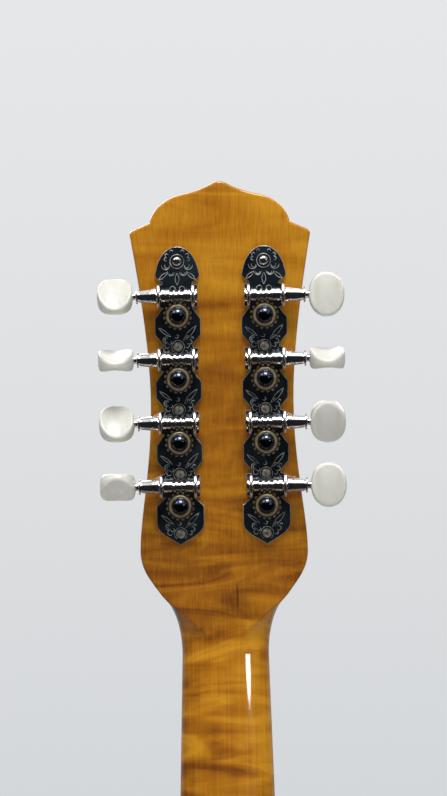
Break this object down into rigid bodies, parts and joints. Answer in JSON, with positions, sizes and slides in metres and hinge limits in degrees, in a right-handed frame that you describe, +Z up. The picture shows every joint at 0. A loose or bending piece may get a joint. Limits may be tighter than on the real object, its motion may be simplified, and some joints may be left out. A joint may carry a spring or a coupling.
{
  "type": "resonator mandolin",
  "caption": "Pear-shaped resonator mandolin in amber flamed maple, with a spun cone under a perforated coverplate and open-geared four-on-a-plate tuners with ivory buttons.",
  "frame": {"origin": "the hanging point: on the plane under the fingerboard where the headstock breaks back from the neck, where a wall hanger's yoke takes it", "axes": "+Z runs up the neck to the headstock, the front (strings) faces -Y, the treble side is +X"},
  "size_m": [0.258, 0.0718, 0.6849],
  "materials": {
    "amber_maple": "gloss",
    "amber_top": "gloss",
    "plain_wood": "matte",
    "ebony": "satin",
    "bone": "satin",
    "ivory_plastic": "gloss",
    "nickel": "polished",
    "chrome": "polished",
    "bronze": "satin",
    "aluminium": "satin",
    "steel_string": "satin",
    "wound_string": "satin",
    "carbon": "matte"
  },
  "bodies": {
    "body": {"neck": "amber_maple", "neck_bar": "carbon", "headstock_overlay": "ebony", "nut": "bone", "fingerboard": "ebony", "body_top": "amber_top", "body_back": "amber_maple", "body_sides": "amber_maple", "neck_block": "plain_wood", "tail_block": "plain_wood", "soundwell": "plain_wood", "cone": "aluminium", "biscuit": "plain_wood", "saddle": "plain_wood", "coverplate": "nickel", "handrest": "nickel", "tailpiece": "nickel", "strap_button": "nickel", "tuner_plate_treble": "nickel", "tuner_plate_bass": "nickel", "string_g1": "wound_string", "string_g2": "wound_string", "string_d1": "wound_string", "string_d2": "wound_string", "string_a1": "steel_string", "string_a2": "steel_string", "string_e1": "steel_string", "string_e2": "steel_string"},
    "g1_knob": {"tuner_g1_shaft": "chrome", "tuner_g1_button": "ivory_plastic"},
    "g1_roller": {"tuner_g1_gear": "bronze", "tuner_g1_post": "nickel"},
    "g2_knob": {"tuner_g2_shaft": "chrome", "tuner_g2_button": "ivory_plastic"},
    "g2_roller": {"tuner_g2_gear": "bronze", "tuner_g2_post": "nickel"},
    "d1_knob": {"tuner_d1_shaft": "chrome", "tuner_d1_button": "ivory_plastic"},
    "d1_roller": {"tuner_d1_gear": "bronze", "tuner_d1_post": "nickel"},
    "d2_knob": {"tuner_d2_shaft": "chrome", "tuner_d2_button": "ivory_plastic"},
    "d2_roller": {"tuner_d2_gear": "bronze", "tuner_d2_post": "nickel"},
    "e1_knob": {"tuner_e1_shaft": "chrome", "tuner_e1_button": "ivory_plastic"},
    "e1_roller": {"tuner_e1_gear": "bronze", "tuner_e1_post": "nickel"},
    "e2_knob": {"tuner_e2_shaft": "chrome", "tuner_e2_button": "ivory_plastic"},
    "e2_roller": {"tuner_e2_gear": "bronze", "tuner_e2_post": "nickel"},
    "a1_knob": {"tuner_a1_shaft": "chrome", "tuner_a1_button": "ivory_plastic"},
    "a1_roller": {"tuner_a1_gear": "bronze", "tuner_a1_post": "nickel"},
    "a2_knob": {"tuner_a2_shaft": "chrome", "tuner_a2_button": "ivory_plastic"},
    "a2_roller": {"tuner_a2_gear": "bronze", "tuner_a2_post": "nickel"}
  },
  "joints": [
    {"name": "g1_knob_turn", "type": "hinge", "parent": "body", "child": "g1_knob", "pos_m": [-0.0157, 0.03128, 0.0428], "axis": [-1, 0, 0], "continuous": true},
    {"name": "g1_post_turn", "type": "hinge", "parent": "body", "child": "g1_roller", "pos_m": [-0.0157, 0.02957, 0.03591], "axis": [0, 0.9703, -0.2419], "continuous": true},
    {"name": "g2_knob_turn", "type": "hinge", "parent": "body", "child": "g2_knob", "pos_m": [-0.0157, 0.03685, 0.06512], "axis": [-1, 0, 0], "continuous": true},
    {"name": "g2_post_turn", "type": "hinge", "parent": "body", "child": "g2_roller", "pos_m": [-0.0157, 0.03513, 0.05823], "axis": [0, 0.9703, -0.2419], "continuous": true},
    {"name": "d1_knob_turn", "type": "hinge", "parent": "body", "child": "d1_knob", "pos_m": [-0.0157, 0.04241, 0.08744], "axis": [-1, 0, 0], "continuous": true},
    {"name": "d1_post_turn", "type": "hinge", "parent": "body", "child": "d1_roller", "pos_m": [-0.0157, 0.0407, 0.08055], "axis": [0, 0.9703, -0.2419], "continuous": true},
    {"name": "d2_knob_turn", "type": "hinge", "parent": "body", "child": "d2_knob", "pos_m": [-0.0157, 0.04798, 0.10975], "axis": [-1, 0, 0], "continuous": true},
    {"name": "d2_post_turn", "type": "hinge", "parent": "body", "child": "d2_roller", "pos_m": [-0.0157, 0.04626, 0.10286], "axis": [0, 0.9703, -0.2419], "continuous": true},
    {"name": "e1_knob_turn", "type": "hinge", "parent": "body", "child": "e1_knob", "pos_m": [0.0157, 0.03128, 0.0428], "axis": [1, 0, 0], "continuous": true},
    {"name": "e1_post_turn", "type": "hinge", "parent": "body", "child": "e1_roller", "pos_m": [0.0157, 0.02957, 0.03591], "axis": [0, 0.9703, -0.2419], "continuous": true},
    {"name": "e2_knob_turn", "type": "hinge", "parent": "body", "child": "e2_knob", "pos_m": [0.0157, 0.03685, 0.06512], "axis": [1, 0, 0], "continuous": true},
    {"name": "e2_post_turn", "type": "hinge", "parent": "body", "child": "e2_roller", "pos_m": [0.0157, 0.03513, 0.05823], "axis": [0, 0.9703, -0.2419], "continuous": true},
    {"name": "a1_knob_turn", "type": "hinge", "parent": "body", "child": "a1_knob", "pos_m": [0.0157, 0.04241, 0.08744], "axis": [1, 0, 0], "continuous": true},
    {"name": "a1_post_turn", "type": "hinge", "parent": "body", "child": "a1_roller", "pos_m": [0.0157, 0.0407, 0.08055], "axis": [0, 0.9703, -0.2419], "continuous": true},
    {"name": "a2_knob_turn", "type": "hinge", "parent": "body", "child": "a2_knob", "pos_m": [0.0157, 0.04798, 0.10975], "axis": [1, 0, 0], "continuous": true},
    {"name": "a2_post_turn", "type": "hinge", "parent": "body", "child": "a2_roller", "pos_m": [0.0157, 0.04626, 0.10286], "axis": [0, 0.9703, -0.2419], "continuous": true}
  ],
  "couplings": [
    {"joint": "g1_post_turn", "follows": "g1_knob_turn", "ratio": -0.0625},
    {"joint": "g2_post_turn", "follows": "g2_knob_turn", "ratio": -0.0625},
    {"joint": "d1_post_turn", "follows": "d1_knob_turn", "ratio": -0.0625},
    {"joint": "d2_post_turn", "follows": "d2_knob_turn", "ratio": -0.0625},
    {"joint": "e1_post_turn", "follows": "e1_knob_turn", "ratio": 0.0625},
    {"joint": "e2_post_turn", "follows": "e2_knob_turn", "ratio": 0.0625},
    {"joint": "a1_post_turn", "follows": "a1_knob_turn", "ratio": 0.0625},
    {"joint": "a2_post_turn", "follows": "a2_knob_turn", "ratio": 0.0625}
  ]
}
